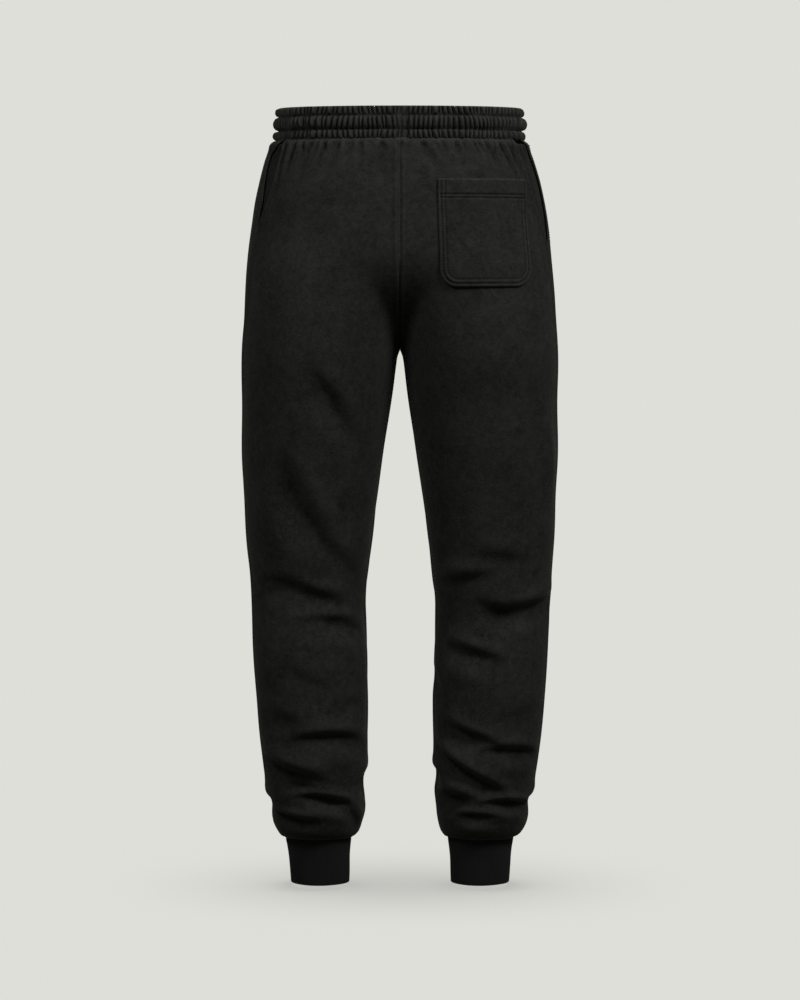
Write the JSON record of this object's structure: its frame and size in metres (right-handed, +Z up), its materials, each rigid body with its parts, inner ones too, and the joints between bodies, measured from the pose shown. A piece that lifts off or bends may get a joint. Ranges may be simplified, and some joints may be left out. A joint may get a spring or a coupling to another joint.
{
  "type": "jogger sweatpants",
  "caption": "Black fleece jogger sweatpants filled out as worn, with a ruched elastic waistband, tapered legs, rib cuffs, slanted side pockets and a patch back pocket.",
  "frame": {"origin": "middle of the waist opening, half way up the waistband, where the garment is held round the wearer's waist", "axes": "+Z up the body, +Y to the wearer's back, +X to the wearer's left"},
  "size_m": [0.4192, 0.2573, 1.034],
  "materials": {
    "fleece": "brushed cotton fleece, washed black, matt with a short nap",
    "waist_fleece": "brushed cotton fleece gathered over elastic, matt",
    "rib": "rib knit, black, matt",
    "facing_fleece": "brushed cotton fleece, washed black, matt"
  },
  "bodies": {
    "root": {"waistband": "waist_fleece", "back_left": "fleece", "back_right": "fleece", "front_left": "fleece", "front_right": "fleece", "back_pocket": "fleece", "pocket_facing_left": "facing_fleece", "pocket_facing_right": "facing_fleece", "cuff_left": "rib", "cuff_right": "rib"}
  },
  "joints": []
}
